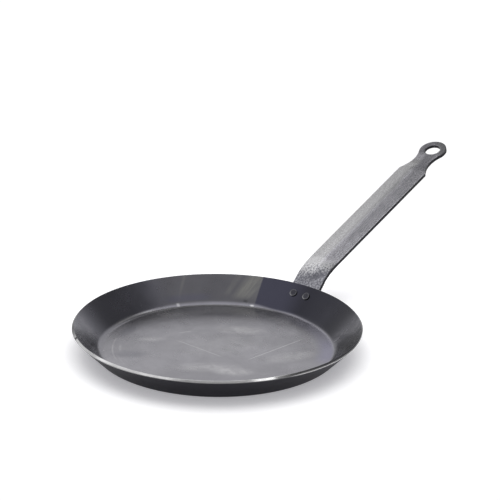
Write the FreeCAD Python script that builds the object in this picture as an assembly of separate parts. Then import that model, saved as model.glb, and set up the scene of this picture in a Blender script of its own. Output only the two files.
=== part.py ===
import FreeCAD, Part
import math
import os

Vec = FreeCAD.Vector
origin = Vec(0, 0, 0)
across = Vec(0, 1, 0)
upright = Vec(0, 0, 1)

# Driving dimensions, in millimetres and degrees.
# The origin is the centre of the base's underside, +X points along the handle and +Z is up.

# Pan body: a disc of sheet steel pressed into a low flared dish
rim_diameter = 240.0          # over the outer corner of the square-cut rim
body_height = 23.4            # table to the highest edge of the rim
sheet_thickness = 2.5
wall_angle = 45.0             # slope of the wall, from the table
floor_corner_radius = 8.0     # between the cooking floor and the wall

# Handle: one strip of steel, saddled onto the wall, bent, crowned and pierced
strip_thickness = 3.0
strip_width = 28.0
strip_crown = 1.2             # rise of the run's middle over its edges
flange_depth = 19.0           # rim to the flange's lower end, down the wall
flange_corner_radius = 7.0
bend_start = 8.0              # rim to the start of the bend, up the line of the wall
bend_radius = 63.0            # of the upper face
run_slope = 20.6              # slope of the straight run, from the table
eye_reach = 305.5             # pan axis to the middle of the hanging hole, level
eye_diameter = 25.0
hanging_hole_diameter = 14.0
neck_width = 17.6
neck_radius = 28.0            # of the hollow each side of the neck
shoulder_radius = 3.0         # of the corner where the run ends

# Rivets: a flat-topped head inside the pan, a domed head outside the flange
rivet_spacing = 13.8
rivet_drop = 9.4              # rim to the rivets, down the wall
shank_diameter = 5.0
shank_clearance = 0.05        # between the shank and its holes, on the radius
head_clearance = 0.05         # between a head and the face it clamps
inner_head_diameter = 8.0
inner_head_height = 0.8
inner_head_slope = 0.5        # width and height of the sloped edge of the inner head
outer_head_diameter = 9.5
outer_head_height = 1.8

# Sections that carry the saddle over into the crown round the bend, and the crown into the flat eye
blend_sections = 6

# Wall frame, in the plane of the handle: a point is so far up the wall from the rim and so far out of it
wall = math.radians(wall_angle)
up_wall = Vec(math.cos(wall), 0, math.sin(wall))
out_wall = Vec(math.sin(wall), 0, -math.cos(wall))
rim_corner = Vec(rim_diameter / 2, 0, body_height - sheet_thickness * math.cos(wall))


def wall_point(up, out):
    return rim_corner + up_wall * up + out_wall * out


def wire_of(*curves):
    return Part.Wire([curve.toShape() for curve in curves])


def blend_steps():
    # even shares of a blend from 0 to 1, each with the same share eased at both ends
    for step in range(blend_sections):
        share = step / (blend_sections - 1)
        yield share, share * share * (3 - 2 * share)


def wall_sag(up, half_width):
    # how far the round wall falls away from its tangent plane at this distance to the side
    return half_width ** 2 * math.sin(wall) / (2 * wall_point(up, 0).x)


# Rivets
def rivet_turn():
    # degrees about the pan's axis from the handle's plane to one rivet
    return math.degrees(math.asin(rivet_spacing / 2 / wall_point(-rivet_drop, 0).x))


def at_each_rivet(shape):
    turned = {}
    for name, side in (("left", 1), ("right", -1)):
        copy = shape.copy()
        copy.rotate(origin, upright, side * rivet_turn())
        turned[name] = copy
    return turned


def rivet_holes():
    reach = sheet_thickness + strip_thickness
    start = wall_point(-rivet_drop, -reach)
    radius = shank_diameter / 2 + shank_clearance
    return list(at_each_rivet(Part.makeCylinder(radius, 2 * reach, start, out_wall)).values())


def rivet():
    # half section beside the rivet's axis: a point is so far from the axis and so far out of the wall
    def spot(radius, out):
        return wall_point(radius - rivet_drop, out)

    shank = shank_diameter / 2
    inner = inner_head_diameter / 2
    outer = outer_head_diameter / 2
    inner_seat = -sheet_thickness - head_clearance - wall_sag(-rivet_drop, inner)
    inner_face = inner_seat - inner_head_height
    outer_seat = strip_thickness + head_clearance
    face_radius = inner - inner_head_slope
    slope_out = inner_face + inner_head_slope
    dome_radius = (outer ** 2 + outer_head_height ** 2) / (2 * outer_head_height)
    dome_half = math.asin(outer / dome_radius) / 2
    dome_mid = spot(dome_radius * math.sin(dome_half),
                    outer_seat + outer_head_height - dome_radius * (1 - math.cos(dome_half)))
    section = wire_of(
        Part.LineSegment(spot(0, inner_face), spot(face_radius, inner_face)),
        Part.LineSegment(spot(face_radius, inner_face), spot(inner, slope_out)),
        Part.LineSegment(spot(inner, slope_out), spot(inner, inner_seat)),
        Part.LineSegment(spot(inner, inner_seat), spot(shank, inner_seat)),
        Part.LineSegment(spot(shank, inner_seat), spot(shank, outer_seat)),
        Part.LineSegment(spot(shank, outer_seat), spot(outer, outer_seat)),
        Part.Arc(spot(outer, outer_seat), dome_mid, spot(0, outer_seat + outer_head_height)),
        Part.LineSegment(spot(0, outer_seat + outer_head_height), spot(0, inner_face)))
    return Part.Face(section).revolve(spot(0, 0), out_wall, 360)


# Pan body
def pan_body():
    # one turned section: base, outer corner, wall, square-cut rim, and back along the inside
    outer_radius = floor_corner_radius + sheet_thickness
    foot = rim_corner.x - rim_corner.z / math.tan(wall)
    base_radius = foot - outer_radius * math.tan(wall / 2)

    def corner_point(radius, turn):
        return Vec(base_radius + radius * math.sin(turn), 0, outer_radius - radius * math.cos(turn))

    def corner(radius):
        return [corner_point(radius, turn) for turn in (0, wall / 2, wall)]

    outside = corner(outer_radius)
    inside = corner(floor_corner_radius)
    floor_middle = Vec(0, 0, sheet_thickness)
    rim_inside = wall_point(0, -sheet_thickness)
    section = wire_of(
        Part.LineSegment(origin, outside[0]),
        Part.Arc(*outside),
        Part.LineSegment(outside[2], rim_corner),
        Part.LineSegment(rim_corner, rim_inside),
        Part.LineSegment(rim_inside, inside[2]),
        Part.Arc(inside[2], inside[1], inside[0]),
        Part.LineSegment(inside[0], floor_middle),
        Part.LineSegment(floor_middle, origin))
    return Part.Face(section).revolve(origin, upright, 360).cut(rivet_holes())


# Handle
def strip_frame(turn):
    # point on the middle of the upper face, direction along the strip and direction out of that face,
    # when the strip has turned so many degrees away from the wall
    slope = math.radians(wall_angle - turn)
    along = Vec(math.cos(slope), 0, math.sin(slope))
    normal = Vec(-math.sin(slope), 0, math.cos(slope))
    return wall_point(bend_start, bend_radius) + normal * bend_radius, along, normal


full_turn = wall_angle - run_slope
run_start, run_along, run_normal = strip_frame(full_turn)
eye_level = run_start - run_normal * strip_crown

# Distances along the run from its start: hanging hole, narrowest place of the neck, end of the straight edges
eye_radius = eye_diameter / 2
hollow_side = neck_width / 2 + neck_radius
shoulder_side = strip_width / 2 - shoulder_radius
eye_along = (eye_reach - eye_level.x) / run_along.x
neck_along = eye_along - math.sqrt((neck_radius + eye_radius) ** 2 - hollow_side ** 2)
shoulder_along = neck_along - math.sqrt((neck_radius + shoulder_radius) ** 2 - (hollow_side - shoulder_side) ** 2)


def strip_section(middle, normal, crown):
    # closed section: an upper face with nearly flat flanks and a round ridge, the lower face parallel to it
    edge = middle + across * (strip_width / 2) - normal * crown
    other = middle - across * (strip_width / 2) - normal * crown
    ridge = middle + normal * (crown / 3)
    depth = normal * -strip_thickness
    upper = Part.BezierCurve()
    upper.setPoles([edge, ridge, ridge, other])
    lower = Part.BezierCurve()
    lower.setPoles([other + depth, ridge + depth, ridge + depth, edge + depth])
    return wire_of(upper, Part.LineSegment(other, other + depth), lower, Part.LineSegment(edge + depth, edge))


def flange():
    # a plate turned about the pan's axis lies on the wall all over, and is then cut to its outline
    low = -flange_depth
    half = strip_width / 2
    radius = flange_corner_radius
    diagonal = radius * (1 - math.sqrt(0.5))
    corners = [wall_point(low - half, 0), wall_point(bend_start + half, 0),
               wall_point(bend_start + half, strip_thickness), wall_point(low - half, strip_thickness)]
    plate = Part.Face(Part.makePolygon(corners + corners[:1]))
    swing = math.degrees(math.asin(strip_width / corners[0].x))
    plate.rotate(origin, upright, -swing)

    def spot(up, side):
        return wall_point(up, -half) + across * side

    outline = wire_of(
        Part.LineSegment(spot(bend_start, -half), spot(bend_start, half)),
        Part.LineSegment(spot(bend_start, half), spot(low + radius, half)),
        Part.Arc(spot(low + radius, half), spot(low + diagonal, half - diagonal), spot(low, half - radius)),
        Part.LineSegment(spot(low, half - radius), spot(low, radius - half)),
        Part.Arc(spot(low, radius - half), spot(low + diagonal, diagonal - half), spot(low + radius, -half)),
        Part.LineSegment(spot(low + radius, -half), spot(bend_start, -half)))
    blank = Part.Face(outline).extrude(out_wall * (strip_width + strip_thickness))
    return plate.revolve(origin, upright, 2 * swing).common(blank)


def bend(flange_end):
    # carries the saddle of the flange over into the crown of the run, round the bend
    saddle = -wall_sag(bend_start, strip_width / 2)
    sections = [flange_end]
    for share, eased in blend_steps():
        middle, along, normal = strip_frame(full_turn * share)
        crown = saddle + (strip_crown - saddle) * eased
        if share > 0:
            sections.append(strip_section(middle, normal, crown))
    return Part.makeLoft(sections, True)


def run_outline():
    # straight edges, shoulder corners, hollows of the neck and the eye, as a flat face above the run
    def spot(u, v):
        return run_start + run_along * u + across * v + run_normal * strip_width

    def toward(start, end, distance):
        length = math.dist(start, end)
        return [a + (b - a) * distance / length for a, b in zip(start, end)]

    def side_curves(side):
        half = strip_width / 2
        hollow = (neck_along, hollow_side)
        corner = (shoulder_along, shoulder_side)
        corner_start = (shoulder_along, half)
        corner_end = toward(corner, hollow, shoulder_radius)
        chord_middle = [(a + b) / 2 for a, b in zip(corner_start, corner_end)]
        corner_middle = toward(corner, chord_middle, shoulder_radius)
        waist = (neck_along, neck_width / 2)
        hollow_end = toward(hollow, (eye_along, 0), neck_radius)
        marks = [(0, half), corner_start, corner_middle, corner_end, waist, hollow_end]
        points = [spot(u, side * v) for u, v in marks]
        return [Part.LineSegment(*points[:2]), Part.Arc(*points[1:4]), Part.Arc(*points[3:])]

    left = side_curves(1)
    right = side_curves(-1)
    tip = Part.Arc(left[-1].EndPoint, spot(eye_along + eye_radius, 0), right[-1].EndPoint)
    start = Part.LineSegment(right[0].StartPoint, left[0].StartPoint)
    edges = [curve.toShape() for curve in left + [tip] + right + [start]]
    return Part.Face(Part.Wire(Part.__sortEdges__(edges)))


def run():
    # crowned strip, its crown pressed flat between the shoulders and the neck, cut to the outline
    sections = []
    for share, eased in blend_steps():
        crown = strip_crown * (1 - eased)
        place = shoulder_along + (neck_along - shoulder_along) * share
        middle = eye_level + run_along * place + run_normal * crown
        sections.append(strip_section(middle, run_normal, crown))
    crowned = Part.Face(strip_section(run_start, run_normal, strip_crown))
    straight = crowned.extrude(run_along * shoulder_along)
    half = strip_width / 2
    corners = [eye_level + run_along * neck_along + across * side - run_normal * depth for side, depth in
               ((half, 0), (-half, 0), (-half, strip_thickness), (half, strip_thickness))]
    end = Part.Face(Part.makePolygon(corners + corners[:1]))
    flat = end.extrude(run_along * (eye_along + eye_diameter - neck_along))
    strip = straight.fuse([Part.makeLoft(sections, True), flat])
    return strip.common(run_outline().extrude(run_normal * (-3 * strip_width)))


def hanging_hole():
    middle = eye_level + run_along * eye_along - run_normal * strip_width
    return Part.makeCylinder(hanging_hole_diameter / 2, 2 * strip_width, middle, run_normal)


def handle():
    saddle = flange()
    flange_end = max(saddle.Faces, key=lambda face: face.CenterOfMass.dot(up_wall))
    strip = saddle.fuse([bend(flange_end.OuterWire), run()]).removeSplitter()
    return strip.cut(rivet_holes() + [hanging_hole()])


os.makedirs("parts", exist_ok=True)
nodes = {"pan_body": pan_body(), "handle": handle()}
for rivet_side, rivet_solid in at_each_rivet(rivet()).items():
    nodes["rivet_" + rivet_side] = rivet_solid

for name, shape in nodes.items():
    print(name, "solids", len(shape.Solids), "valid", shape.isValid(), "volume", round(shape.Volume, 1))
    shape.Solids[0].exportStep("parts/" + name + ".step")
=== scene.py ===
import bpy
import bmesh
from math import asin, atan2, cos, pi, radians, sin, sqrt, tan
from mathutils import Matrix, Quaternion, Vector


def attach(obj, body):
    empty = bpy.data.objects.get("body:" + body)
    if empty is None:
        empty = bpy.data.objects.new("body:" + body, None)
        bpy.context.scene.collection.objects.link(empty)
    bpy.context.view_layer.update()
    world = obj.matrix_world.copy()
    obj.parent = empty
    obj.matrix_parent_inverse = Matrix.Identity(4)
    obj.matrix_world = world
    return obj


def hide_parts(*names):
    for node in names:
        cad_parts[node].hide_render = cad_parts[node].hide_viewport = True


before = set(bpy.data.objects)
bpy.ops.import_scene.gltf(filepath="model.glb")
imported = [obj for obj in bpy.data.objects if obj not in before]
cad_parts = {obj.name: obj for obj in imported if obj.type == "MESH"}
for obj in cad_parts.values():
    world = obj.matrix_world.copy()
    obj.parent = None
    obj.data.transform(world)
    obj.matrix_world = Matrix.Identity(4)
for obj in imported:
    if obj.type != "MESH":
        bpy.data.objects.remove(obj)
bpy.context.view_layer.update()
mm = 0.001  # pieces are laid out in millimetres and go into the frame in metres
weld = 1e-4  # points of a turned section that are this close are one
sharpAngle = 38  # folds steeper than this, in degrees, stay sharp
noiseSpan = (0.3, 0.7)  # where nearly all of a noise lies
print("frame:", ", ".join(sorted(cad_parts)))


def extendTo(bm, tip, point):
    grown = bmesh.ops.extrude_vert_indiv(bm, verts=[tip])
    grown["verts"][0].co = point
    return grown["verts"][0]


def sweepTo(bm, tip, centre, angle, steps):  # carries the chain round an arc in the XZ plane
    swept = bmesh.ops.spin(bm, geom=[tip], cent=centre, axis=(0, 1, 0), angle=angle, steps=steps)
    return next(item for item in swept["geom_last"] if isinstance(item, bmesh.types.BMVert))


def turnAll(bm, centre, axis, steps):  # full turn of the section about an axis
    bmesh.ops.spin(bm, geom=bm.verts[:] + bm.edges[:], cent=centre, axis=axis, angle=2 * pi,
                   steps=steps, use_merge=True)
    bmesh.ops.remove_doubles(bm, verts=bm.verts[:], dist=weld)
    bmesh.ops.recalc_face_normals(bm, faces=bm.faces[:])


def finishPiece(name, bm, node, finishes):
    bmesh.ops.scale(bm, vec=(mm, mm, mm), verts=bm.verts[:])
    mesh = bpy.data.meshes.new(name)
    bm.to_mesh(mesh)
    bm.free()
    for finish in finishes:
        mesh.materials.append(finish)
    mesh.polygons.foreach_set("use_smooth", [True] * len(mesh.polygons))
    mesh.set_sharp_from_angle(angle=radians(sharpAngle))
    piece = bpy.data.objects.new(name, mesh)
    bpy.context.scene.collection.objects.link(piece)
    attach(piece, "root")
    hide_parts(node)
    print("piece:", name, len(mesh.polygons), "faces")
    return piece


def nodeAdder(tree):
    def add(kind, values=None, **settings):
        node = tree.nodes.new(kind)
        for key, value in settings.items():
            setattr(node, key, value)
        for socket, value in (values or {}).items():
            if isinstance(value, bpy.types.NodeSocket):
                tree.links.new(value, node.inputs[socket])
            else:
                node.inputs[socket].default_value = value
        return node
    return add


def newFinish(name):
    finish = bpy.data.materials.new(name)
    finish.use_nodes = True
    finish.node_tree.nodes.clear()
    return finish, nodeAdder(finish.node_tree)


def ramp(add, value, low, high, toLow=0.0, toHigh=1.0):  # smooth step between two values
    return add("ShaderNodeMapRange", {0: value, 1: low, 2: high, 3: toLow, 4: toHigh},
               interpolation_type="SMOOTHSTEP").outputs[0]


def math(add, operation, first, second=0.0):
    return add("ShaderNodeMath", {0: first, 1: second}, operation=operation).outputs[0]


def mixColour(add, factor, first, second):
    return add("ShaderNodeMix", {0: factor, 6: first, 7: second}, data_type="RGBA").outputs[2]


def noise(add, place, scale, detail=3.0, rough=0.55, distortion=0.0):
    return add("ShaderNodeTexNoise", {"Vector": place, "Scale": scale, "Detail": detail, "Roughness": rough,
                                      "Distortion": distortion}).outputs["Fac"]


def vector(add, operation, first, second=(0, 0, 0)):
    outputs = add("ShaderNodeVectorMath", {0: first, 1: second}, operation=operation).outputs
    return outputs["Value" if operation in ("DOT_PRODUCT", "LENGTH") else "Vector"]


def times(add, first, *others):
    for other in others:
        first = math(add, "MULTIPLY", first, other)
    return first


def largest(add, first, *others):
    for other in others:
        first = math(add, "MAXIMUM", first, other)
    return first


def within(add, value, *steps, unit=1.0):  # product of smooth steps, each given as for a ramp
    return times(add, *[ramp(add, value, low * unit, high * unit, *ends) for low, high, *ends in steps])


def awayFrom(add, value, middle):  # distance to either side
    return math(add, "ABSOLUTE", math(add, "SUBTRACT", value, middle))


def between(add, value, low, high):  # spreads a noise evenly between two values
    return add("ShaderNodeMapRange", {0: value, 1: noiseSpan[0], 2: noiseSpan[1], 3: low, 4: high}).outputs[0]


def bumped(add, height, strength, distance, under=None):
    values = {"Strength": strength, "Distance": distance, "Height": height}
    if under is not None:
        values["Normal"] = under
    return add("ShaderNodeBump", values).outputs[0]


def closeFinish(add, colour, rough, normal, others=None):
    values = {"Base Color": colour, "Metallic": 1.0, "Roughness": rough, "Normal": normal}
    shader = add("ShaderNodeBsdfPrincipled", {**values, **(others or {})})
    add("ShaderNodeOutputMaterial", {"Surface": shader.outputs[0]})


# Pan body
panDims = {"rimRadius": 120.0, "height": 23.4, "sheet": 2.5, "wallAngle": 45.0, "floorCorner": 8.0,
           "rimOuterEase": 0.4, "rimInnerEase": 0.25, "easeSupport": 0.05, "easeSteps": 4, "turnSteps": 288,
           "cornerSteps": 16, "longRun": 7.5, "floorRings": 16, "wallRings": 8,
           "rimFacing": -0.3, "rimLean": -0.6, "outFacing": 0.25}
wall = radians(panDims["wallAngle"])
upWall = Vector((cos(wall), 0, sin(wall)))
outWall = Vector((sin(wall), 0, -cos(wall)))
rimCorner = Vector((panDims["rimRadius"], 0, panDims["height"] - panDims["sheet"] * cos(wall)))


def wallPoint(up, out):  # in the handle's plane: so far up the wall from the rim, so far out of it
    return rimCorner + upWall * up + outWall * out


def makePan(finishes):
    sheet = panDims["sheet"]
    outerRadius = panDims["floorCorner"] + sheet
    foot = rimCorner.x - rimCorner.z / tan(wall) - outerRadius * tan(wall / 2)
    corner = Vector((foot, 0, outerRadius))
    bm = bmesh.new()
    tip = extendTo(bm, bm.verts.new((0, 0, 0)), (foot, 0, 0))
    tip = sweepTo(bm, tip, corner, -wall, panDims["cornerSteps"])
    for ease, out, first in ((panDims["rimOuterEase"], 0, True), (panDims["rimInnerEase"], -sheet, False)):
        hold = ease + panDims["easeSupport"]  # close rings keep the flat faces flat
        inward = -1 if first else 1
        sides = [wallPoint(-hold, out), wallPoint(-ease, out)]
        tops = [wallPoint(0, out + inward * ease), wallPoint(0, out + inward * hold)]
        before, after = (sides, tops[1:]) if first else (tops[::-1], sides[:1])
        for point in before:
            tip = extendTo(bm, tip, point)
        tip = sweepTo(bm, tip, wallPoint(-ease, out + inward * ease), -pi / 2, panDims["easeSteps"])
        for point in after:
            tip = extendTo(bm, tip, point)
    tip = extendTo(bm, tip, corner + outWall * panDims["floorCorner"])
    tip = sweepTo(bm, tip, corner, wall, panDims["cornerSteps"])
    extendTo(bm, tip, (0, 0, sheet))
    longEdges = [edge for edge in bm.edges if edge.calc_length() > panDims["longRun"]]
    for edge in longEdges:
        rings = panDims["floorRings"] if edge.calc_length() > foot / 2 else panDims["wallRings"]
        bmesh.ops.subdivide_edges(bm, edges=[edge], cuts=rings)
    turnAll(bm, (0, 0, 0), (0, 0, 1), panDims["turnSteps"])
    for face in bm.faces:  # 0 cooking face, 1 cut rim, 2 outside
        middle = face.calc_center_median()
        outward = Vector((middle.x, middle.y, 0)).normalized()
        facing = face.normal.dot(outward)
        outOrUp = facing > panDims["rimFacing"] and face.normal.z > panDims["rimLean"]
        if outOrUp and middle.z > rimCorner.z - panDims["rimOuterEase"]:
            face.material_index = 1
        elif facing > panDims["outFacing"] or face.normal.z < 0:
            face.material_index = 2
    return finishPiece("panBody", bm, "pan_body", finishes)


# Handle
stripDims = {"thickness": 3.0, "width": 28.0, "crown": 1.2, "flangeDepth": 19.0, "flangeCorner": 7.0,
             "bendStart": 8.0, "bendRadius": 63.0, "runSlope": 20.6, "eyeReach": 305.5, "eyeDiameter": 25.0,
             "holeDiameter": 14.0, "neckWidth": 17.6, "neckRadius": 28.0, "shoulderRadius": 3.0,
             "topEase": 0.25, "lowEase": 0.12, "easeSegments": 3, "columns": 26, "eyeRings": 4, "tipSteps": 44,
             "cornerRows": 6, "flangeRows": 6, "rimRows": 3, "bendRows": 20, "runRows": 30, "shoulderRows": 5,
             "neckRows": 22, "weld": 1e-3, "borderFold": 1.0, "sideLean": (-0.98, 0.5)}
halfWidth = stripDims["width"] / 2
fullBend = wall - radians(stripDims["runSlope"])
runFrom = stripDims["bendStart"] + stripDims["bendRadius"] * fullBend  # where the straight run starts


def bendFrame(share):  # middle of the upper face, along and out of it, at a share of the bend
    slope = wall - fullBend * share
    along = Vector((cos(slope), 0, sin(slope)))
    normal = Vector((-sin(slope), 0, cos(slope)))
    middle = wallPoint(stripDims["bendStart"], stripDims["bendRadius"]) + normal * stripDims["bendRadius"]
    return middle, along, normal


runStart, runAlong, runNormal = bendFrame(1)
edgeLevel = runStart - runNormal * stripDims["crown"]
eyeRadius = stripDims["eyeDiameter"] / 2
hollowSide = stripDims["neckWidth"] / 2 + stripDims["neckRadius"]
shoulderSide = halfWidth - stripDims["shoulderRadius"]
eyeAt = runFrom + (stripDims["eyeReach"] - edgeLevel.x) / runAlong.x
neckAt = eyeAt - sqrt((stripDims["neckRadius"] + eyeRadius) ** 2 - hollowSide ** 2)
shoulderAt = neckAt - sqrt((stripDims["neckRadius"] + stripDims["shoulderRadius"]) ** 2
                           - (hollowSide - shoulderSide) ** 2)
eyeOpening = atan2(hollowSide, eyeAt - neckAt)  # half the eye's arc that faces the neck


def eased(share):
    share = min(max(share, 0), 1)
    return share * share * (3 - 2 * share)


def ridgeShare(side):  # flat flanks and a round ridge: solves side = (3 s + s^3) / 4
    s = side
    for _ in range(6):
        s -= ((3 * s + s ** 3) / 4 - side) / (0.75 * (1 + s * s))
    return s


def formStrip(flat):  # flat blank (along, across, height) to its place: saddle, bend, crown, flat eye
    u, v, depth = flat.x, flat.y, -flat.z
    side = min(max(v / halfWidth, -1), 1)
    across = Vector((0, v, 0))
    sag = v * v * sin(wall) / (2 * wallPoint(min(u, stripDims["bendStart"]), 0).x)
    if u <= stripDims["bendStart"]:  # flange, lying on the round wall
        turn = asin(v / wallPoint(u, 0).x)
        outward = Vector((sin(wall) * cos(turn), sin(wall) * sin(turn), -cos(wall)))
        return wallPoint(u, -sag) + across + outward * depth
    if u <= runFrom:  # bend
        share = (u - stripDims["bendStart"]) / (runFrom - stripDims["bendStart"])
        middle, along, normal = bendFrame(share)
        rise = sag * (1 - eased(share)) - stripDims["crown"] * eased(share) * ridgeShare(side) ** 2
        return middle + across + normal * (rise - depth)
    crown = stripDims["crown"] * (1 - eased((u - shoulderAt) / (neckAt - shoulderAt)))
    rise = crown * (1 - ridgeShare(side) ** 2)
    return edgeLevel + runAlong * (u - runFrom) + across + runNormal * (rise - depth)


def spread(start, end, steps):  # even steps after the start, up to the end
    return [start + (end - start) * step / steps for step in range(1, steps + 1)]


def blankRows():  # along, half width and how far the row is bowed round the eye
    radius, low = stripDims["flangeCorner"], -stripDims["flangeDepth"]
    rows = [(low + radius * (1 - cos(turn)), halfWidth - radius * (1 - sin(turn)), 0)
            for turn in [0] + spread(0, pi / 2, stripDims["cornerRows"])]
    for start, end, steps in ((low + radius, 0, "flangeRows"), (0, stripDims["bendStart"], "rimRows"),
                              (stripDims["bendStart"], runFrom, "bendRows"), (runFrom, shoulderAt, "runRows")):
        rows += [(along, halfWidth, 0) for along in spread(start, end, stripDims[steps])]
    radius = stripDims["shoulderRadius"]
    end = atan2(hollowSide - shoulderSide, neckAt - shoulderAt)
    for turn in spread(pi / 2, end, stripDims["shoulderRows"]):
        rows.append((shoulderAt + radius * cos(turn), shoulderSide + radius * sin(turn), 0))
    radius = stripDims["neckRadius"]
    start = atan2(shoulderSide - hollowSide, shoulderAt - neckAt)
    end = atan2(-hollowSide, eyeAt - neckAt)
    neckRows = stripDims["neckRows"]
    for step, turn in enumerate(spread(start, end, neckRows), 1):
        rows.append((neckAt + radius * cos(turn), hollowSide + radius * sin(turn), (step / neckRows) ** 2))
    return rows


def makeHandle(finishes):
    columns = stripDims["columns"]
    rows = blankRows()
    bm = bmesh.new()
    bmesh.ops.create_grid(bm, x_segments=len(rows) - 1, y_segments=columns, size=1)
    for vert in bm.verts:  # the grid takes the outline of the blank
        along, half, bow = rows[round((vert.co.x + 1) / 2 * (len(rows) - 1))]
        side = vert.co.y
        turn = eyeOpening * side
        bowed = sin(turn) / sin(eyeOpening)
        vert.co = (along + bow * eyeRadius * (cos(eyeOpening) - cos(turn)),
                   half * (side + (bowed - side) * bow), 0)
    eye = Vector((eyeAt, 0, 0))
    reach = Vector((-cos(eyeOpening), sin(eyeOpening), 0))
    ring = [bm.verts.new(eye + reach * eyeRadius)]
    for radius in spread(eyeRadius, stripDims["holeDiameter"] / 2, stripDims["eyeRings"]):
        ring.append(extendTo(bm, ring[-1], eye + reach * radius))
    spokes = ring + [edge for edge in bm.edges if not edge.link_faces]
    facing = bmesh.ops.spin(bm, geom=spokes, cent=eye, axis=(0, 0, 1), angle=2 * eyeOpening, steps=columns)
    bmesh.ops.spin(bm, geom=facing["geom_last"], cent=eye, axis=(0, 0, 1), angle=2 * pi - 2 * eyeOpening,
                   steps=stripDims["tipSteps"])
    bmesh.ops.remove_doubles(bm, verts=bm.verts[:], dist=stripDims["weld"])
    bmesh.ops.recalc_face_normals(bm, faces=bm.faces[:])
    if sum(face.normal.z for face in bm.faces) < 0:
        bmesh.ops.reverse_faces(bm, faces=bm.faces[:])
    bmesh.ops.solidify(bm, geom=bm.faces[:], thickness=stripDims["thickness"])
    top = max(vert.co.z for vert in bm.verts)
    bmesh.ops.translate(bm, vec=(0, 0, -top), verts=bm.verts[:])
    bmesh.ops.recalc_face_normals(bm, faces=bm.faces[:])
    borders = [edge for edge in bm.edges if edge.is_manifold and edge.calc_face_angle() > stripDims["borderFold"]
               and abs(edge.verts[0].co.z - edge.verts[1].co.z) < stripDims["weld"]]
    upper = [edge for edge in borders if edge.verts[0].co.z > -stripDims["thickness"] / 2]
    lower = [edge for edge in borders if edge not in upper]
    for loop, ease in ((upper, stripDims["topEase"]), (lower, stripDims["lowEase"])):
        bmesh.ops.bevel(bm, geom=loop, offset=ease, offset_type="OFFSET", segments=stripDims["easeSegments"],
                        profile=0.5, affect="EDGES", material=-1)
    lowLean, highLean = stripDims["sideLean"]
    for face in bm.faces:  # sheared sides keep their dark scale
        if lowLean < face.normal.z < highLean:
            face.material_index = 1
    for vert in bm.verts:
        vert.co = formStrip(vert.co)
    piece = finishPiece("handle", bm, "handle", finishes)
    piece.modifiers.new("flatSides", "WEIGHTED_NORMAL").keep_sharp = True


# Rivets
rivetDims = {"spacing": 13.8, "drop": 9.4, "shank": 5.0, "gap": 0.05, "innerHead": 8.0, "innerHeight": 0.8,
             "outerHead": 9.5, "outerHeight": 1.8, "dish": 0.12, "dishRadius": 2.0, "darkMiddle": 2.2,
             "ringFade": 0.5, "glintFrom": 0.45, "glintFade": 0.2, "turnSteps": 48, "roundSteps": 8}


def makeRivet(name, node, side, finishes):
    def spot(radius, out):
        return wallPoint(radius - rivetDims["drop"], out)

    inner, outer, shank = rivetDims["innerHead"] / 2, rivetDims["outerHead"] / 2, rivetDims["shank"] / 2
    rise = rivetDims["innerHeight"]
    seat = -panDims["sheet"] - rivetDims["gap"] - inner ** 2 * sin(wall) / (2 * spot(0, 0).x)
    outSeat = stripDims["thickness"] + rivetDims["gap"]
    domeRadius = (outer ** 2 + rivetDims["outerHeight"] ** 2) / (2 * rivetDims["outerHeight"])
    domeTop = outSeat + rivetDims["outerHeight"]
    bm = bmesh.new()
    dish = rivetDims["dish"]
    tip = bm.verts.new(spot(0, seat - rise + dish))
    tip = extendTo(bm, tip, spot(rivetDims["dishRadius"], seat - rise + dish / 2))
    tip = extendTo(bm, tip, spot(inner - rise, seat - rise))
    tip = sweepTo(bm, tip, spot(inner - rise, seat), -pi / 2, rivetDims["roundSteps"])
    tip = extendTo(bm, extendTo(bm, tip, spot(shank, seat)), spot(shank, outSeat))
    tip = extendTo(bm, tip, spot(outer, outSeat))
    tip = sweepTo(bm, tip, spot(0, domeTop - domeRadius), asin(outer / domeRadius), rivetDims["roundSteps"])
    tip.co = spot(0, domeTop)
    turnAll(bm, spot(0, 0), outWall, rivetDims["turnSteps"])
    headRing = bm.verts.layers.float.new("headRing")
    glintSide = bm.verts.layers.float.new("glintSide")
    lowLeft = (Vector((0, 1, 0)) - upWall).normalized()
    for vert in bm.verts:  # dark middle, lighter ring, and a polished crescent low on the left painted bright as its highlight
        off = vert.co - spot(0, 0)
        off -= outWall * off.dot(outWall)
        vert[headRing] = eased((off.length - rivetDims["darkMiddle"]) / rivetDims["ringFade"])
        vert[glintSide] = eased((off.dot(lowLeft) / inner - rivetDims["glintFrom"]) / rivetDims["glintFade"])
    turn = side * asin(rivetDims["spacing"] / 2 / spot(0, 0).x)
    bmesh.ops.rotate(bm, cent=(0, 0, 0), matrix=Matrix.Rotation(turn, 3, "Z"), verts=bm.verts[:])
    return finishPiece(name, bm, node, finishes)


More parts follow.
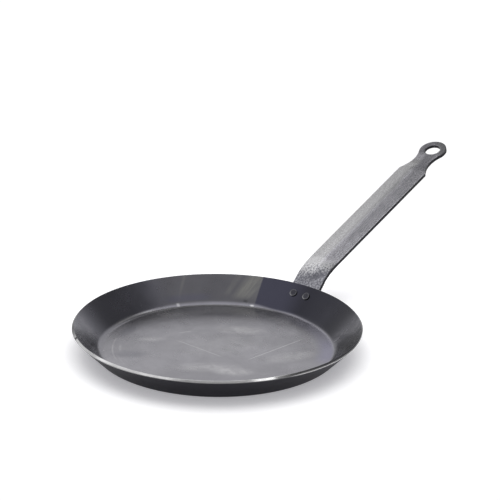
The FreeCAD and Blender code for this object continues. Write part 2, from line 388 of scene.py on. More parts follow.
# Cooking face: turns in degrees, places and sizes in millimetres
cookFace = {"floor": (0.283, 0.278, 0.305, 1), "cloud": (0.229, 0.225, 0.248, 1), "brown": (0.08, 0.079, 0.088, 1),
            "haze": (0.072, 0.072, 0.102, 1), "olive": (0.14, 0.139, 0.134, 1), "navy": (0.043, 0.043, 0.06, 1),
            "navyDeep": (0.0255, 0.0255, 0.0325, 1), "dusk": (0.141, 0.14, 0.166, 1),
            "worn": (0.52, 0.515, 0.53, 1), "dirt": (0.03, 0.03, 0.032, 1), "lilac": (0.235, 0.229, 0.3, 1),
            "clouds": (24.0, 4.0, 0.6, 0.6), "cloudSpan": (0.35, 0.68), "grain": (1200.0, 2.0, 0.6),
            "ringPitch": 260.0, "rings": (2.2, 3.0, 0.6), "ringSpan": (0.38, 0.66, 0.0, 0.3),
            "blotch": (80.0, 4.0, 0.6, 0.9), "blotchSpan": (0.3, 0.68, 0.3, 1.0),
            "scratches": [((-8.4, 40.0), (-12.9, -19.0), 0.6, 0.55), ((-8.0, -34.8), (68.0, -43.0), 0.65, 0.6),
                          ((4.1, 46.0), (15.1, 39.9), 0.8, 0.45), ((20.8, 11.0), (48.8, -19.0), 0.45, 0.2),
                          ((-1.0, -30.5), (46.0, -37.5), 0.4, 0.2), ((20.0, -66.0), (42.0, -60.0), 0.6, 0.35),
                          ((-24.0, 22.0), (6.0, 30.0), 0.4, 0.15)],
            "lineCore": 0.3, "lineEnds": (0.15, 0.8),
            "smears": [((-30.4, -40.1), (24.0, 12.0), -60, 0.6), ((-37.0, -20.0), (36.0, 13.0), -51, 0.42),
                       ((43.0, 10.0), (26.0, 13.0), -60, 0.44), ((24.0, -58.0), (32.0, 13.0), -25, 0.4),
                       ((-20.6, 54.6), (16.0, 7.0), -45, 0.4), ((4.6, 4.3), (52.0, 30.0), -51, 0.2)],
            "dulls": [((41.0, -77.0), (20.0, 9.0), 28, 0.25), ((-57.0, 47.0), (20.0, 11.0), -50, 0.5),
                      ((-19.0, 81.0), (22.0, 8.0), 13, 0.6)],
            "patchCore": 0.25,
            "arcs": [(86.6, 1.0, 114, 150, 0.42), (80.4, 1.6, 121, 138, 0.3), (83.6, 0.7, 136, 160, 0.22)],
            "arcCore": 0.2, "arcFade": 8.0,
            # bands near the corner: the lighter bands are wear and painted highlight along the corner ridge, the
            # dusk bands painted shade in the corner, the lilac band a tint by the right corner
            "bands": [("lilac", [(30.0, -10.0), (-76.0, -62.0), (-36.0, -46.0, 0.6, 1.0)],
                       [(80.0, 90.0), (97.5, 93.5)]),
                      ("worn", [(4.0, 18.0), (84.0, 66.0)], [(78.0, 94.0, 0.0, 0.85), (97.8, 95.5)]),
                      ("worn", [(-16.0, 2.0), (92.0, 74.0, 0.0, 0.45)], [(74.0, 86.0), (95.5, 92.0)]),
                      ("dusk", [(76.0, 62.0, 0.0, 0.5)], [(95.5, 97.5)]),
                      ("dusk", [(92.0, 104.0, 0.0, 0.4), (172.0, 145.0)], [(93.0, 96.5)]),
                      ("worn", [(70.0, 78.0), (104.0, 94.0, 0.0, 0.55)], [(96.6, 97.6)])],
            # painted highlights: short glints on the corner ridge
            "ridgeGlints": [(59.3, 1.2, 0.4, 95.0, 100.4), (21.6, 1.5, 0.8, 96.6, 99.2)],
            "ridgeCore": 0.2, "ridgeFades": (0.8, 1.0),
            "climb": [(58.0, 78.0, 0.6), (22.0, 8.0, 1.7), (0.0, -16.0, 0.8), (120.0, 172.0, 0.9),
                      (-120.0, -172.0, -1.0)],
            "wallFrom": (98.0, 100.6), "roughNoise": (45.0, 4.0, 0.6), "roughness": (0.2, 0.3),
            "lowNoise": (30.0, 2.0), "lowBump": (0.012, 0.001), "fineBump": (0.018, 0.0002)}
wallFace = {"strokeLean": 0.385, "strokePitch": 0.12, "strokes": (0.75, 3.0, 0.65),
            "brownTurn": [(75.0, 60.0), (-110.0, -70.0)],
            "hazeRise": [(4.8, 7.0), (12.0, 8.5)], "hazeTurn": [(39.0, 48.0), (68.0, 60.0)], "hazeDepth": 0.4,
            "oliveTurn": [(25.0, 29.0, 0.25, 1.0), (37.0, 32.5)], "oliveRise": (5.5, 10.5),
            "oliveStrokes": (0.3, 0.7, 0.4, 1.0),
            "secondAt": 38.6, "secondSpan": (2.2, 0.4, 0.0, 0.35), "secondRise": (8.0, 11.0),
            "thinLean": 0.32, "thinAt": 60.6, "thinSpan": (1.1, 0.1), "thinRise": (8.0, 19.0, 0.06, 0.3),
            "navyLean": 0.044, "navyFrom": (20.95, 20.35), "navyTurn": (-130.0, -70.0), "navyDeepen": (-6.0, 8.0),
            "paleTurn": [(-32.0, -44.0), (-62.0, -48.0, 0.12, 0.35)],
            "leftEnd": [(112.0, 124.0), (146.0, 132.0, 0.25, 1.0)],
            "rightEnd": [(-36.0, -44.0), (-76.0, -62.0, 0.25, 1.0)],
            "endMottle": (95.0, 4.0, 0.65, 0.8), "endSpan": (0.42, 0.66, 0.0, 0.3),
            "dirtTurn": 25.4, "dirtHalf": (1.6, 0.4), "dirtRise": 6.0, "dirtHeight": (1.4, 0.3, 0.0, 0.5)}


def lineMask(add, place, start, end, width):  # worn line between two points of the floor
    first, last = Vector((*start, 0)) * mm, Vector((*end, 0)) * mm
    along = (last - first).normalized()
    reach = (last - first).length
    away = vector(add, "SUBTRACT", place, first)
    run = vector(add, "DOT_PRODUCT", away, along)
    off = math(add, "ABSOLUTE", vector(add, "DOT_PRODUCT", away, (-along.y, along.x, 0)))
    line = within(add, off, (width, width * cookFace["lineCore"]), unit=mm)
    fadeIn, fadeOut = cookFace["lineEnds"]
    return times(add, line, within(add, run, (0.0, fadeIn), (1.0, fadeOut), unit=reach))


def patchMask(add, place, centre, size, turn):  # soft oval patch on the floor
    away = vector(add, "SUBTRACT", place, Vector((*centre, 0)) * mm)
    turned = add("ShaderNodeMapping", {"Vector": away, "Rotation": (0, 0, radians(-turn))}).outputs[0]
    sized = vector(add, "MULTIPLY", turned, (1 / (size[0] * mm), 1 / (size[1] * mm), 0))
    return ramp(add, vector(add, "LENGTH", sized), 1.0, cookFace["patchCore"])


def floorColour(add, place, flat, radius, turned):
    ringPlace = vector(add, "MULTIPLY", times(add, radius, cookFace["ringPitch"]), (0, 0, 1))
    ringPlace = vector(add, "ADD", ringPlace, vector(add, "NORMALIZE", flat))
    rings = noise(add, ringPlace, *cookFace["rings"])  # polishing marks round the pan
    clouds = noise(add, place, *cookFace["clouds"])
    colour = mixColour(add, ramp(add, clouds, *cookFace["cloudSpan"]), cookFace["cloud"], cookFace["floor"])
    colour = mixColour(add, ramp(add, rings, *cookFace["ringSpan"]), colour, cookFace["cloud"])
    blotch = ramp(add, noise(add, place, *cookFace["blotch"]), *cookFace["blotchSpan"])
    marks = [times(add, lineMask(add, place, start, end, width), depth)
             for start, end, width, depth in cookFace["scratches"]]
    marks += [times(add, patchMask(add, place, centre, size, turn), depth, blotch)
              for centre, size, turn, depth in cookFace["smears"]]
    fade = cookFace["arcFade"]
    for arcRadius, half, first, last, depth in cookFace["arcs"]:
        near = within(add, awayFrom(add, radius, arcRadius * mm), (half, half * cookFace["arcCore"]), unit=mm)
        swept = within(add, turned, (first, first + fade), (last, last - fade, 0.0, depth))
        marks.append(times(add, near, swept, blotch))
    colour = mixColour(add, largest(add, *marks), colour, cookFace["worn"])
    for centre, size, turn, depth in cookFace["dulls"]:
        dull = times(add, patchMask(add, place, centre, size, turn), depth)
        colour = mixColour(add, dull, colour, cookFace["dusk"])
    # painted highlight and painted shade along the corner, laid on as tone bands
    for tone, turns, radii in cookFace["bands"]:
        band = times(add, within(add, turned, *turns), within(add, radius, *radii, unit=mm))
        colour = mixColour(add, band, colour, cookFace[tone])
    return colour


def wallColour(add, place, turned, rise):
    def leaning(lean):  # degrees round the pan, for marks that lean to the right going up
        return math(add, "ADD", turned, times(add, rise, lean))

    leaned = leaning(wallFace["strokeLean"])
    stroke = add("ShaderNodeCombineXYZ", {0: leaned, 1: times(add, rise, wallFace["strokePitch"])}).outputs[0]
    strokes = noise(add, stroke, *wallFace["strokes"])
    colour = mixColour(add, within(add, turned, *wallFace["brownTurn"]), cookFace["dusk"], cookFace["brown"])
    haze = times(add, within(add, rise, *wallFace["hazeRise"]), within(add, turned, *wallFace["hazeTurn"]))
    colour = mixColour(add, times(add, haze, wallFace["hazeDepth"]), colour, cookFace["haze"])
    # the olive patch and the darker navy side below keep the sharp edges of reflections on the wall: partly temper
    # colour, partly painted reflection
    olive = times(add, within(add, leaned, *wallFace["oliveTurn"]), ramp(add, rise, *wallFace["oliveRise"]))
    second = ramp(add, awayFrom(add, leaned, wallFace["secondAt"]), *wallFace["secondSpan"])
    second = times(add, second, ramp(add, rise, *wallFace["secondRise"]))
    olive = times(add, largest(add, olive, second), ramp(add, strokes, *wallFace["oliveStrokes"]))
    colour = mixColour(add, olive, colour, cookFace["olive"])
    thin = ramp(add, awayFrom(add, leaning(wallFace["thinLean"]), wallFace["thinAt"]), *wallFace["thinSpan"])
    thin = times(add, thin, ramp(add, rise, *wallFace["thinRise"]))
    colour = mixColour(add, thin, colour, cookFace["olive"])
    navySide = ramp(add, leaning(wallFace["navyLean"]), *wallFace["navyFrom"])
    navySide = times(add, navySide, ramp(add, turned, *wallFace["navyTurn"]))
    navy = mixColour(add, ramp(add, turned, *wallFace["navyDeepen"]), cookFace["navyDeep"], cookFace["navy"])
    # painted light: a pale patch on the navy side
    navy = mixColour(add, within(add, turned, *wallFace["paleTurn"]), navy, cookFace["dusk"])
    colour = mixColour(add, navySide, colour, navy)
    ends = largest(add, within(add, turned, *wallFace["leftEnd"]), within(add, turned, *wallFace["rightEnd"]))
    mottle = noise(add, place, *wallFace["endMottle"])
    ends = times(add, ends, ramp(add, mottle, *wallFace["endSpan"]))
    colour = mixColour(add, ends, colour, cookFace["floor"])
    dirt = times(add, ramp(add, awayFrom(add, turned, wallFace["dirtTurn"]), *wallFace["dirtHalf"]),
                 ramp(add, awayFrom(add, rise, wallFace["dirtRise"]), *wallFace["dirtHeight"]))
    return mixColour(add, dirt, colour, cookFace["dirt"])


def cookingFace():
    finish, add = newFinish("cookingFace")
    place = add("ShaderNodeTexCoord").outputs["Object"]
    parts = add("ShaderNodeSeparateXYZ", {0: place}).outputs
    flat = vector(add, "MULTIPLY", place, (1, 1, 0))
    radius = vector(add, "LENGTH", flat)
    turned = times(add, math(add, "ARCTAN2", parts["Y"], parts["X"]), 180 / pi)  # degrees round the pan
    rise = times(add, parts["Z"], 1 / mm)
    colour = floorColour(add, place, flat, radius, turned)
    outside = radius  # the floor's finish runs up the corner, more in some places than others
    for first, last, offset in cookFace["climb"]:
        outside = math(add, "ADD", outside, ramp(add, turned, first, last, 0.0, offset * mm))
    onWall = within(add, outside, cookFace["wallFrom"], unit=mm)
    colour = mixColour(add, onWall, colour, wallColour(add, place, turned, rise))
    # painted highlights: short bright glints on the corner ridge
    for spotTurn, half, depth, inside, beyond in cookFace["ridgeGlints"]:
        spot = ramp(add, awayFrom(add, turned, spotTurn), half, half * cookFace["ridgeCore"], 0.0, depth)
        fadeIn, fadeOut = cookFace["ridgeFades"]
        corner = within(add, radius, (inside, inside + fadeIn), (beyond, beyond - fadeOut), unit=mm)
        colour = mixColour(add, times(add, spot, corner), colour, cookFace["worn"])
    rough = between(add, noise(add, place, *cookFace["roughNoise"]), *cookFace["roughness"])
    low = bumped(add, noise(add, place, *cookFace["lowNoise"]), *cookFace["lowBump"])
    fine = bumped(add, noise(add, place, *cookFace["grain"]), *cookFace["fineBump"], low)
    closeFinish(add, colour, rough, fine)
    return finish


outerFace = {"dark": (0.048, 0.047, 0.058, 1), "light": (0.066, 0.064, 0.077, 1), "tint": (0.78, 0.78, 0.79, 1),
             "scuffed": (0.085, 0.084, 0.096, 1), "clouds": (28.0, 4.0, 0.6, 0.4), "cloudSpan": (0.35, 0.68),
             "scuffs": (160.0, 4.0, 0.7), "scuffSpan": (0.5, 0.68), "scuffRise": (1.2, 0.2),
             "grain": (1000.0, 2.0, 0.6), "roughness": (0.3, 0.4), "bump": (0.08, 0.0003)}


def outerSteel():
    finish, add = newFinish("outerSteel")
    place = add("ShaderNodeTexCoord").outputs["Object"]
    height = add("ShaderNodeSeparateXYZ", {0: place}).outputs["Z"]
    clouds = noise(add, place, *outerFace["clouds"])
    colour = mixColour(add, ramp(add, clouds, *outerFace["cloudSpan"]), outerFace["dark"], outerFace["light"])
    scuffs = ramp(add, noise(add, place, *outerFace["scuffs"]), *outerFace["scuffSpan"])
    scuffs = times(add, within(add, height, outerFace["scuffRise"], unit=mm), scuffs)  # on the base alone
    colour = mixColour(add, scuffs, colour, outerFace["scuffed"])
    normal = bumped(add, noise(add, place, *outerFace["grain"]), *outerFace["bump"])
    closeFinish(add, colour, between(add, clouds, *outerFace["roughness"]), normal,
                {"Specular Tint": outerFace["tint"]})
    return finish


# Cut rim: turns in degrees from the front
rimFace = {"front": 219.3, "bare": (0.52, 0.518, 0.525, 1), "fresh": (0.66, 0.66, 0.665, 1),
           "bright": (0.88, 0.88, 0.88, 1), "scale": (0.1, 0.1, 0.108, 1), "dark": (0.05, 0.05, 0.055, 1),
           "edgeFront": (0.13, 0.13, 0.138, 1), "edgeSide": (0.45, 0.45, 0.46, 1), "edgeGlint": (0.85, 0.85, 0.86, 1),
           "scaleTint": (0.4, 0.4, 0.4, 1), "bareTint": (1, 1, 1, 1),
           "bareTurn": [(-86.0, -72.0), (44.0, 26.0)], "freshTurn": [(-17.0, -13.0), (30.0, 24.0)],
           "rootAt": 140.7, "rootSpan": (12.0, 8.0, 0.0, 0.9), "glintAt": 18.2, "glintSpan": (5.5, 3.0),
           "nickAt": -75.2, "nickSpan": (1.1, 0.5), "rightTurn": [(26.0, 34.0), (100.0, 80.0)], "rightDark": 0.75,
           "rightDrop": 0.5, "lowEdge": (21.9, 21.7), "sideFrom": (24.0, 52.0), "wear": (60.0, 3.0, 0.6),
           "wearSpan": (0.4, 0.7, 0.0, 0.25), "grain": (900.0, 3.0, 0.6), "roughness": (0.09, 0.16),
           "bump": (0.03, 0.0002), "scaleMetal": 0.3, "specular": 0.1}


def cutRim():
    finish, add = newFinish("cutRim")
    place = add("ShaderNodeTexCoord").outputs["Object"]
    front = radians(rimFace["front"])
    ahead = vector(add, "DOT_PRODUCT", place, (cos(front), sin(front), 0))
    aside = vector(add, "DOT_PRODUCT", place, (-sin(front), cos(front), 0))
    turned = times(add, math(add, "ARCTAN2", aside, ahead), 180 / pi)
    # bare metal where the rim shines, on the front arc and by the handle root, darker scale elsewhere: partly real,
    # partly painted highlight and shade
    root = ramp(add, awayFrom(add, turned, rimFace["rootAt"]), *rimFace["rootSpan"])
    bare = largest(add, within(add, turned, *rimFace["bareTurn"]), root)
    colour = mixColour(add, within(add, turned, *rimFace["freshTurn"]), rimFace["bare"], rimFace["fresh"])
    # painted highlight: a bright spot on the rim right of the front
    spot = ramp(add, awayFrom(add, turned, rimFace["glintAt"]), *rimFace["glintSpan"])
    colour = mixColour(add, spot, colour, rimFace["bright"])
    colour = mixColour(add, bare, rimFace["scale"], colour)
    nick = ramp(add, awayFrom(add, turned, rimFace["nickAt"]), *rimFace["nickSpan"])
    colour = mixColour(add, nick, colour, rimFace["dark"])
    bare = times(add, bare, math(add, "SUBTRACT", 1.0, nick))
    wear = noise(add, place, *rimFace["wear"])
    colour = mixColour(add, ramp(add, wear, *rimFace["wearSpan"]), colour, rimFace["scale"])
    # painted shade: the rim face darker on the right
    onRight = within(add, turned, *rimFace["rightTurn"])
    colour = mixColour(add, times(add, onRight, rimFace["rightDark"]), colour, rimFace["dark"])
    height = add("ShaderNodeSeparateXYZ", {0: place}).outputs["Z"]
    lowered = math(add, "SUBTRACT", height, times(add, onRight, rimFace["rightDrop"] * mm))
    lowEdge = within(add, lowered, rimFace["lowEdge"], unit=mm)  # outer edge, broader on the right for its painted highlight
    # painted reflection on the outer edge: dark at the front, lighter to the sides, a painted highlight on the right
    toSide = ramp(add, math(add, "ABSOLUTE", turned), *rimFace["sideFrom"])
    edgeTone = mixColour(add, toSide, rimFace["edgeFront"], rimFace["edgeSide"])
    edgeTone = mixColour(add, onRight, edgeTone, rimFace["edgeGlint"])
    colour = mixColour(add, lowEdge, colour, edgeTone)
    bare = largest(add, bare, lowEdge)
    tint = mixColour(add, bare, rimFace["scaleTint"], rimFace["bareTint"])
    metal = add("ShaderNodeMapRange", {0: bare, 3: rimFace["scaleMetal"], 4: 1.0}).outputs[0]
    grain = noise(add, place, *rimFace["grain"])
    closeFinish(add, colour, between(add, grain, *rimFace["roughness"]), bumped(add, grain, *rimFace["bump"]),
                {"Metallic": metal, "Specular IOR Level": rimFace["specular"], "Specular Tint": tint})
    return finish


# Handle's faces: places along and across the strip in millimetres
stripFace = {"lightNear": (0.665, 0.663, 0.676, 1), "lightFar": (0.632, 0.629, 0.645, 1),
             "darkNear": (0.482, 0.48, 0.493, 1), "darkFar": (0.461, 0.459, 0.472, 1),
             "black": (0, 0, 0, 1), "white": (1, 1, 1, 1), "cool": (0.985, 0.975, 1.035),
             "eyeRightShade": (0.25, 0.25, 0.26, 1), "flankDark": (0.26, 0.26, 0.27, 1),
             "flankLight": (0.36, 0.36, 0.37, 1), "scaleDark": (0.09, 0.09, 0.107, 1),
             "scaleLight": (0.28, 0.28, 0.305, 1), "burnt": (0.075, 0.075, 0.088, 1),
             "speckle": (1000.0, 3.0, 0.7), "speckleSpan": (0.3, 0.7), "clouds": (70.0, 3.0, 0.6),
             "mottle": (620.0, 4.0, 0.7), "mottleShade": (0.38, 0.62, 0.17, 0.0), "mottleSpan": (0.36, 0.64),
             "borderShift": [(200.0, 270.0, 1.2), (250.0, 262.0, -1.5)], "borderWidth": (2.0, -2.0),
             "farAlong": (160.0, 310.0), "farRight": (295.0, 280.0), "farShare": (0.0, 1.0, 1.0, 0.3),
             "leftAlong": [(284.0, 275.0), (230.0, 270.0, 0.36, 0.37)],
             "rightAlong": [(145.0, 270.0, 0.13, 0.34), (284.0, 274.0)], "coolAlong": (284.0, 294.0),
             "coreAlong": (285.0, 291.0), "coreAcross": (3.0, -1.0), "eyeAlong": (295.0, 301.0),
             "eyeAcross": (-10.0, -6.0, 0.02, 0.38), "neckAlong": [(273.0, 280.0), (292.0, 287.0)],
             "neckAcross": [(-2.0, 2.0, 0.0, 0.2), (7.5, 3.5, 0.1, 1.0)],
             "eyeTurn": (0.63, 0.776), "eyeSpan": (194.0, 200.0, 0.0, 0.9),
             "rootSlant": 0.36, "rootRagged": 45.0, "rootSpan": (138.0, 128.0), "flankAlong": (150.0, 139.0),
             "burntSpan": (122.5, 127.0), "burntAcross": (9.0, -4.0, 0.1, 0.9),
             "roughness": (0.17, 0.22), "bump": (0.15, 0.0003)}


def millSteel():
    finish, add = newFinish("millSteel")
    place = add("ShaderNodeTexCoord").outputs["Object"]
    parts = add("ShaderNodeSeparateXYZ", {0: place}).outputs
    along, across = parts["X"], parts["Y"]
    speckle = noise(add, place, *stripFace["speckle"])
    mottle = noise(add, place, *stripFace["mottle"])

    def on(value, *steps):
        return within(add, value, *steps, unit=mm)

    # the border where the left flank's painted shade and the right flank's painted light change over
    border = across
    for first, last, shift in stripFace["borderShift"]:
        border = math(add, "ADD", border, ramp(add, along, first * mm, last * mm, 0.0, shift * mm))
    rightSide = on(border, stripFace["borderWidth"])
    leftSide = math(add, "SUBTRACT", 1.0, rightSide)
    # painted shade: the strip darker towards the eye, less on the right near it
    farRight = times(add, rightSide, on(along, stripFace["farRight"]))
    far = times(add, on(along, stripFace["farAlong"]), ramp(add, farRight, *stripFace["farShare"]))
    light = mixColour(add, far, stripFace["lightNear"], stripFace["lightFar"])
    dark = mixColour(add, far, stripFace["darkNear"], stripFace["darkFar"])
    colour = mixColour(add, ramp(add, speckle, *stripFace["speckleSpan"]), dark, light)
    leftShade = times(add, on(along, *stripFace["leftAlong"]), leftSide)
    colour = mixColour(add, leftShade, colour, stripFace["black"])
    # painted light: the right flank lightened towards white
    rightLift = times(add, on(along, *stripFace["rightAlong"]), rightSide)
    colour = mixColour(add, rightLift, colour, stripFace["white"])
    # painted reflection tint: a cooler colour on the right flank and the eye
    coolSide = largest(add, rightSide, on(along, stripFace["coolAlong"]))
    colour = mixColour(add, coolSide, colour, vector(add, "MULTIPLY", colour, stripFace["cool"]))
    colour = mixColour(add, ramp(add, mottle, *stripFace["mottleShade"]), colour, stripFace["black"])
    core = times(add, on(along, stripFace["coreAlong"]), on(across, stripFace["coreAcross"]))
    eyeShade = times(add, largest(add, core, on(along, stripFace["eyeAlong"])), on(across, stripFace["eyeAcross"]))
    colour = mixColour(add, eyeShade, colour, stripFace["black"])
    # painted light: the left of the neck lightened
    neckLeft = times(add, on(along, *stripFace["neckAlong"]), on(across, *stripFace["neckAcross"]))
    colour = mixColour(add, neckLeft, colour, stripFace["white"])
    # painted shade: the right part of the eye darker
    eyeOn, eyeAside = stripFace["eyeTurn"]
    eyeRight = math(add, "SUBTRACT", times(add, along, eyeOn), times(add, across, eyeAside))
    colour = mixColour(add, on(eyeRight, stripFace["eyeSpan"]), colour, stripFace["eyeRightShade"])
    # painted shade: the right flank darker at the bend
    rightFlankShade = mixColour(add, speckle, stripFace["flankDark"], stripFace["flankLight"])
    colour = mixColour(add, times(add, rightSide, on(along, stripFace["flankAlong"])), colour, rightFlankShade)
    # scale left on the root
    slanted = math(add, "ADD", along, times(add, across, stripFace["rootSlant"]))
    ragged = times(add, math(add, "SUBTRACT", mottle, 0.5), stripFace["rootRagged"] * mm)
    root = on(math(add, "ADD", slanted, ragged), stripFace["rootSpan"])
    scaled = ramp(add, mottle, *stripFace["mottleSpan"])
    scale = mixColour(add, scaled, stripFace["scaleDark"], stripFace["scaleLight"])
    burnt = times(add, on(slanted, stripFace["burntSpan"]), on(across, stripFace["burntAcross"]))
    scale = mixColour(add, burnt, scale, stripFace["burnt"])
    colour = mixColour(add, root, colour, scale)
    rough = between(add, noise(add, place, *stripFace["clouds"]), *stripFace["roughness"])
    closeFinish(add, colour, rough, bumped(add, speckle, *stripFace["bump"]))
    return finish


edgeFace = {"dark": (0.02, 0.02, 0.023, 1), "light": (0.036, 0.036, 0.04, 1), "grain": (800.0, 3.0, 0.6),
            "grainSpan": (0.35, 0.65), "roughness": (0.45, 0.6), "bump": (0.2, 0.0003)}


def shearedEdge():
    finish, add = newFinish("shearedEdge")
    grain = noise(add, add("ShaderNodeTexCoord").outputs["Object"], *edgeFace["grain"])
    colour = mixColour(add, ramp(add, grain, *edgeFace["grainSpan"]), edgeFace["dark"], edgeFace["light"])
    closeFinish(add, colour, between(add, grain, *edgeFace["roughness"]), bumped(add, grain, *edgeFace["bump"]))
    return finish


rivetFace = {"middleDark": (0.03, 0.03, 0.037, 1), "middleLight": (0.045, 0.045, 0.054, 1),
             "ringDark": (0.075, 0.075, 0.083, 1), "ringLight": (0.11, 0.11, 0.118, 1),
             "worn": (0.24, 0.24, 0.245, 1), "grain": (900.0, 3.0, 0.6), "grainSpan": (0.35, 0.65),
             "roughness": (0.26, 0.36), "bump": (0.1, 0.0002)}


def rivetSteel():
    finish, add = newFinish("rivetSteel")
    grain = noise(add, add("ShaderNodeTexCoord").outputs["Object"], *rivetFace["grain"])
    grained = ramp(add, grain, *rivetFace["grainSpan"])
    ring = add("ShaderNodeAttribute", attribute_name="headRing").outputs["Fac"]
    worn = add("ShaderNodeAttribute", attribute_name="glintSide").outputs["Fac"]
    middle = mixColour(add, grained, rivetFace["middleDark"], rivetFace["middleLight"])
    colour = mixColour(add, ring, middle, mixColour(add, grained, rivetFace["ringDark"], rivetFace["ringLight"]))
    # polished crescent low on the left, painted bright as its highlight
    colour = mixColour(add, times(add, worn, ring), colour, rivetFace["worn"])
    closeFinish(add, colour, between(add, grain, *rivetFace["roughness"]), bumped(add, grain, *rivetFace["bump"]))
    return finish


makePan([cookingFace(), cutRim(), outerSteel()])
makeHandle([millSteel(), shearedEdge()])
rivetFinish = rivetSteel()
makeRivet("rivetLeft", "rivet_left", 1, [rivetFinish])
makeRivet("rivetRight", "rivet_right", -1, [rivetFinish])

# Camera, fitted to the photograph
cameraDims = {"place": (-1.4953323, -1.2160038, 0.7947129), "aim": (0.73645, 0.582571, -0.343878),
              "roll": 0.664, "lens": 181.44, "sensor": 36.0, "clip": (0.05, 50.0)}
camera = bpy.data.objects.new("camera", bpy.data.cameras.new("camera"))
bpy.context.scene.collection.objects.link(camera)
camera.data.sensor_width = cameraDims["sensor"]
camera.data.lens = cameraDims["lens"]
camera.data.clip_start, camera.data.clip_end = cameraDims["clip"]
camera.location = cameraDims["place"]
camera.rotation_mode = "QUATERNION"
camera.rotation_quaternion = (Vector(cameraDims["aim"]).to_track_quat("-Z", "Y")
                              @ Quaternion((0, 0, 1), radians(cameraDims["roll"])))
bpy.context.scene.camera = camera
print("camera set")

# Studio: white floor and back wall, soft boxes above; places are right, away and up as the camera looks
studioDims = {"right": (0.6309, -0.7759, 0), "away": (0.7759, 0.6309, 0), "floorSize": 14.0, "floorColour": 0.9,
              "liftColour": (0.99, 0.985, 1.035, 1), "liftNear": 0.31, "liftBeyond": 0.12, "liftFar": 0.29,
              "liftBelow": 0.45, "liftMirrored": 0.12, "nearReach": (0.17, 0.3), "farReach": (0.6, 1.4),
              "belowAlong": (0.12, 0.2), "belowAcross": (0.12, 0.04), "belowReach": (0.5, 0.36),
              "dim": 0.2, "frontGlow": 0.24, "frontSpan": (0.0, 0.6), "backTop": (0.73, 0.66), "backSlant": 1.2,
              "slantEnds": (-0.12, 0.08), "backSide": (0.45, 0.8), "backTurn": 14, "boxTurn": -1.9,
              "boxes": [("mainBox", (-0.19, 0.109, 1.5), (2.22, 1.482), 1.1, True, True),
                        ("sideBox", (-1.85, 0.16, 1.5), (1.1, 1.482), 1.05, True, False),
                        ("wingBox", (-1.39, 1.31, 1.5), (2.02, 0.92), 0.68, True, False),
                        ("ceiling", (0.7, 0.2, 2.5), (4.0, 4.0), 0.78, False, True)]}


def inStudio(place):
    return Vector(studioDims["right"]) * place[0] + Vector(studioDims["away"]) * place[1] + Vector((0, 0, place[2]))


def makeFloor():
    finish, add = newFinish("whiteFloor")
    tone = studioDims["floorColour"]
    path = add("ShaderNodeLightPath")
    straight = largest(add, path.outputs["Is Camera Ray"], path.outputs["Is Transmission Ray"])
    place = add("ShaderNodeTexCoord").outputs["Object"]
    reach = vector(add, "LENGTH", place)
    # painted light: the floor's glow is stronger near the pan than just beyond it, lightening the pan's shadow
    near, beyond, far = studioDims["liftNear"], studioDims["liftBeyond"], studioDims["liftFar"]
    lifted = math(add, "ADD", ramp(add, reach, *studioDims["nearReach"], near, beyond),
                  ramp(add, reach, *studioDims["farReach"], 0.0, far - beyond))
    spot = add("ShaderNodeSeparateXYZ", {0: place}).outputs
    across = math(add, "ABSOLUTE", spot["Y"])
    # painted light: more glow below the handle lifts the handle's shadow out
    below = times(add, ramp(add, spot["X"], *studioDims["belowAlong"]),
                  ramp(add, across, *studioDims["belowAcross"], 0.0, studioDims["liftBelow"]),
                  ramp(add, reach, *studioDims["belowReach"]))
    seen = times(add, straight, largest(add, lifted, below))  # white below the handle
    mirrored = times(add, path.outputs["Is Glossy Ray"], studioDims["liftMirrored"])
    lift = add("ShaderNodeEmission", {"Color": studioDims["liftColour"], "Strength": largest(add, seen, mirrored)})
    paper = add("ShaderNodeBsdfDiffuse", {"Color": (tone, tone, tone, 1)})
    both = add("ShaderNodeAddShader", {0: paper.outputs[0], 1: lift.outputs[0]})
    add("ShaderNodeOutputMaterial", {"Surface": both.outputs[0]})
    bm = bmesh.new()
    bmesh.ops.create_grid(bm, x_segments=1, y_segments=1, size=studioDims["floorSize"] / 2)
    mesh = bpy.data.meshes.new("floor")
    bm.to_mesh(mesh)
    bm.free()
    mesh.materials.append(finish)
    floor = bpy.data.objects.new("floor", mesh)
    bpy.context.scene.collection.objects.link(floor)


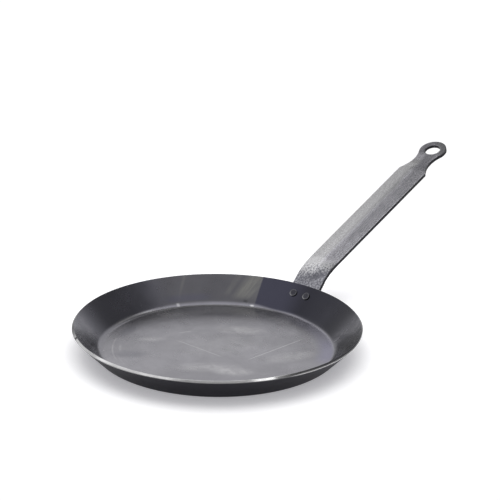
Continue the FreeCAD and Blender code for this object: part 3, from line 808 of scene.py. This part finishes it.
def makeWorld():
    world = bpy.data.worlds.new("studio")
    bpy.context.scene.world = world
    world.use_nodes = True
    world.node_tree.nodes.clear()
    add = nodeAdder(world.node_tree)
    look = add("ShaderNodeTexCoord").outputs["Generated"]
    rise = add("ShaderNodeSeparateXYZ", {0: look}).outputs["Z"]
    level = vector(add, "NORMALIZE", vector(add, "MULTIPLY", look, (1, 1, 0)))
    turn = radians(studioDims["backTurn"])
    facing = vector(add, "DOT_PRODUCT", level, inStudio((-sin(turn), cos(turn), 0)))
    aside = vector(add, "DOT_PRODUCT", level, inStudio((cos(turn), sin(turn), 0)))
    slantLow, slantHigh = studioDims["slantEnds"]
    aside = largest(add, math(add, "MINIMUM", aside, slantHigh), slantLow)
    top = math(add, "ADD", rise, times(add, aside, studioDims["backSlant"]))  # lower to the right
    wallSeen = times(add, ramp(add, top, *studioDims["backTop"]), ramp(add, facing, *studioDims["backSide"]))
    path = add("ShaderNodeLightPath")
    seen = largest(add, path.outputs["Is Camera Ray"], path.outputs["Is Transmission Ray"])
    white = largest(add, seen, wallSeen)
    front = vector(add, "DOT_PRODUCT", look, -inStudio((0, 1, 0)))
    dim = studioDims["dim"]
    room = ramp(add, front, *studioDims["frontSpan"], dim, dim + studioDims["frontGlow"])
    strength = add("ShaderNodeMapRange", {0: white, 3: room, 4: 1.0})
    sky = add("ShaderNodeBackground", {"Color": (1, 1, 1, 1), "Strength": strength.outputs[0]})
    add("ShaderNodeOutputWorld", {"Surface": sky.outputs[0]})


def makeBoxes():
    for name, place, size, brightness, mirrored, onFloor in studioDims["boxes"]:
        lamp = bpy.data.lights.new(name, "AREA")
        lamp.shape = "RECTANGLE"
        lamp.size, lamp.size_y = size
        lamp.energy = brightness * pi * size[0] * size[1]
        holder = bpy.data.objects.new(name, lamp)
        holder.location = inStudio(place)
        turn = atan2(studioDims["right"][1], studioDims["right"][0]) + radians(studioDims["boxTurn"])
        holder.rotation_euler = (0, 0, turn)
        holder.visible_glossy, holder.visible_diffuse = mirrored, onFloor
        bpy.context.scene.collection.objects.link(holder)


makeFloor()
makeWorld()
makeBoxes()
bpy.context.scene.view_settings.view_transform = "Standard"
print("studio set")
